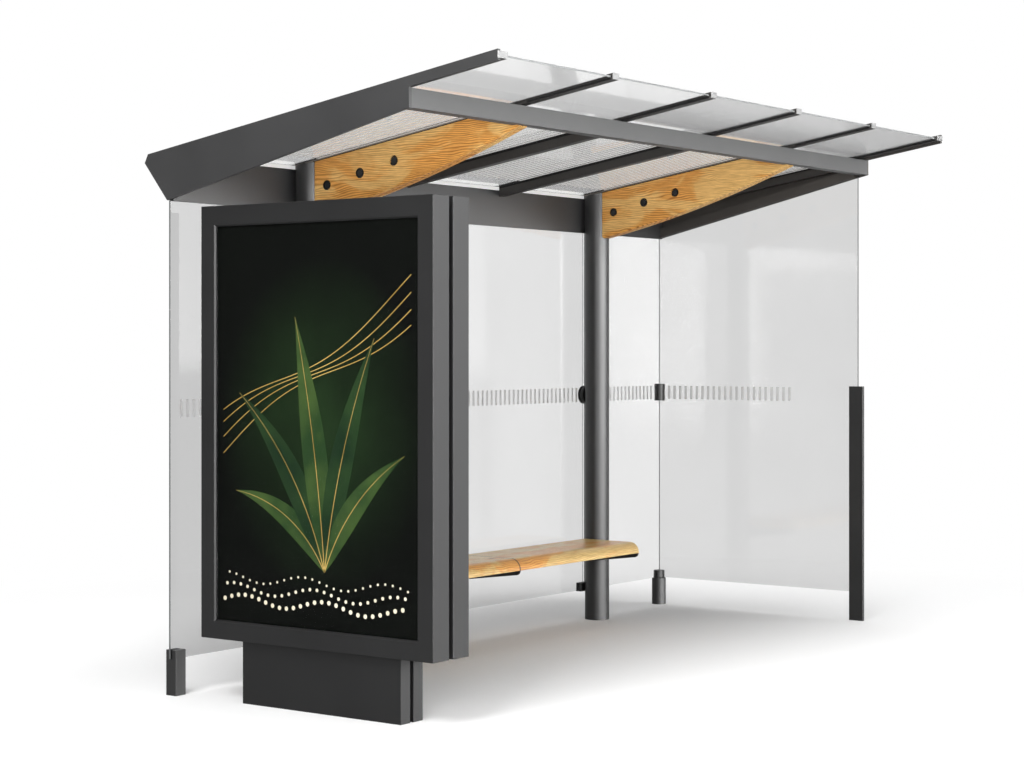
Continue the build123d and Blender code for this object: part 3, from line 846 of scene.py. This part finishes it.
# ---------------------------------------------------------------- studio
# A pale floor that runs out to white, under a soft even sky with a broad softbox low in
# front that only shows in reflections. Three large lamps, above, at the left and low at the
# front left, lay the shadow under the roof and towards the back.
FLOOR_SEEN = (0.97, 0.97, 0.97, 1)
FLOOR_LIT = (0.70, 0.70, 0.70, 1)
FLOOR_MIRRORED = (0.45, 0.45, 0.45, 1)
FLOOR_FADE = (2.2, 5.0)
floor_paint, floor_tree, floor_shader = new_material("studio_floor")
floor_rays = wire(floor_tree, "ShaderNodeLightPath", (-700, 0)).outputs
floor_views = {0: floor_rays["Is Camera Ray"], 1: floor_rays["Is Transmission Ray"]}
floor_seen = wire(floor_tree, "ShaderNodeMath", (-450, 0), floor_views, operation="MAXIMUM").outputs["Value"]
floor_tones = {"Factor": floor_rays["Is Glossy Ray"], 6: FLOOR_LIT, 7: FLOOR_MIRRORED}
floor_dull = wire(floor_tree, "ShaderNodeMix", (-450, 200), floor_tones, data_type="RGBA").outputs[2]
floor_tones = {"Factor": floor_seen, 6: floor_dull, 7: FLOOR_SEEN}
floor_tone = wire(floor_tree, "ShaderNodeMix", (-200, 100), floor_tones, data_type="RGBA").outputs[2]
fill(floor_shader, {"Base Color": floor_tone, "Roughness": 0.9, "Specular IOR Level": 0.1})
floor_place = {0: own_place(floor_tree, (-1100, -300))}
floor_reach = wire(floor_tree, "ShaderNodeVectorMath", (-900, -300), floor_place, operation="LENGTH")
floor_fade = carry(
    floor_tree,
    (-700, -300),
    floor_reach.outputs["Value"],
    FLOOR_FADE,
    (0.0, 1.0),
    interpolation_type="SMOOTHSTEP",
)
floor_far = {0: floor_seen, 1: floor_fade}
floor_lift = wire(floor_tree, "ShaderNodeMath", (-200, -150), floor_far, operation="MULTIPLY")
floor_glow = wire(floor_tree, "ShaderNodeEmission", (300, -300), {"Color": (1, 1, 1, 1), "Strength": 1.0})
floor_choice = {
    "Fac": floor_lift.outputs["Value"],
    1: floor_shader.outputs["BSDF"],
    2: floor_glow.outputs["Emission"],
}
floor_mix = wire(floor_tree, "ShaderNodeMixShader", (600, -100), floor_choice)
floor_out = next(n for n in floor_tree.nodes if n.type == "OUTPUT_MATERIAL")
floor_out.location = (850, 0)
fill(floor_out, {"Surface": floor_mix.outputs["Shader"]})
bpy.ops.object.select_all(action="DESELECT")
bpy.ops.mesh.primitive_plane_add(size=200, location=(0, 0, 0))
floor = bpy.context.object
floor.name = "studio_floor_plane"
floor.data.materials.append(floor_paint)

SOFTBOX_TURN = math.radians(272)
SOFTBOX_LIFT = math.radians(-4)
SOFTBOX_FLATNESS = 1.8
SOFTBOX_RIM = (0.58, 0.95)
SOFTBOX_GLOW = (0.42, 30.0)
DOME_RIM = (-0.3, 1.0)
DOME_GLOW = (0.56, 0.68)
softbox_way = (
    math.cos(SOFTBOX_TURN) * math.cos(SOFTBOX_LIFT),
    math.sin(SOFTBOX_TURN) * math.cos(SOFTBOX_LIFT),
    math.sin(SOFTBOX_LIFT),
)
world = bpy.data.worlds.new("studio_world")
bpy.context.scene.world = world
world.use_nodes = True
sky = world.node_tree
sky.nodes.clear()
sky_rays = wire(sky, "ShaderNodeLightPath", (-500, 300)).outputs
sky_views = {0: sky_rays["Is Camera Ray"], 1: sky_rays["Is Transmission Ray"]}
sky_seen = wire(sky, "ShaderNodeMath", (-250, 300), sky_views, operation="MAXIMUM").outputs["Value"]
way = wire(sky, "ShaderNodeTexCoord", (-1300, 0)).outputs["Generated"]
flattening = {0: way, 1: (1.0, 1.0, SOFTBOX_FLATNESS)}
flat = wire(sky, "ShaderNodeVectorMath", (-1100, -200), flattening, operation="MULTIPLY").outputs["Vector"]
unit = wire(sky, "ShaderNodeVectorMath", (-900, -200), {0: flat}, operation="NORMALIZE").outputs["Vector"]
softbox = wire(sky, "ShaderNodeVectorMath", (-700, 0), {0: unit, 1: softbox_way}, operation="DOT_PRODUCT")
facing = softbox.outputs["Value"]
shine = carry(sky, (-450, 0), facing, SOFTBOX_RIM, SOFTBOX_GLOW, interpolation_type="SMOOTHSTEP")
soft = carry(sky, (-450, -300), facing, DOME_RIM, DOME_GLOW, interpolation_type="SMOOTHSTEP")
levels = {0: sky_rays["Is Glossy Ray"], 2: soft, 3: shine}
level = wire(sky, "ShaderNodeMix", (-100, 0), levels, data_type="FLOAT").outputs[0]
plain = wire(sky, "ShaderNodeMix", (150, 100), {0: sky_seen, 2: level, 3: 1.0}, data_type="FLOAT").outputs[0]
light = wire(sky, "ShaderNodeBackground", (500, 0), {"Color": (1, 1, 1, 1), "Strength": plain})
wire(sky, "ShaderNodeOutputWorld", (900, 0), {"Surface": light.outputs["Background"]})


LOOKED_AT = Vector((0, 0, 1.2))


def soft_lamp(name, azimuth, height, distance, size, power):
    """A large soft lamp around the shelter, turned to face its middle."""
    turn = math.radians(azimuth)
    place = Vector((math.cos(turn) * distance, math.sin(turn) * distance, height))
    bpy.ops.object.light_add(type="AREA", location=place)
    lamp = bpy.context.object
    lamp.name = name
    lamp.data.shape = "RECTANGLE"
    lamp.data.size, lamp.data.size_y = size
    lamp.data.energy = power
    lamp.rotation_euler = (LOOKED_AT - place).to_track_quat("-Z", "Y").to_euler()


soft_lamp("top_lamp", 300, 9.0, 2.6, (4.5, 4.5), 400)
soft_lamp("left_lamp", 188, 6.5, 7.0, (3.5, 3.5), 430)
soft_lamp("low_lamp", 208, 1.9, 8.5, (3.0, 2.4), 350)

# ---------------------------------------------------------------- camera
# Held level at the eye height of a standing person, off the front left corner, with a
# small shift so that the uprights stay upright.
EYE = (-8.866, -5.9895, 1.6)
HEADING = math.radians(-53.93)
LENS = 72.92
SENSOR = 36
SHIFT = -0.0372
bpy.ops.object.camera_add(location=EYE, rotation=(math.pi / 2, 0, HEADING))
camera = bpy.context.object
camera.name = "studio_camera"
camera.data.lens = LENS
camera.data.sensor_width = SENSOR
camera.data.shift_y = SHIFT
bpy.context.scene.camera = camera
bpy.context.scene.view_settings.view_transform = "Standard"
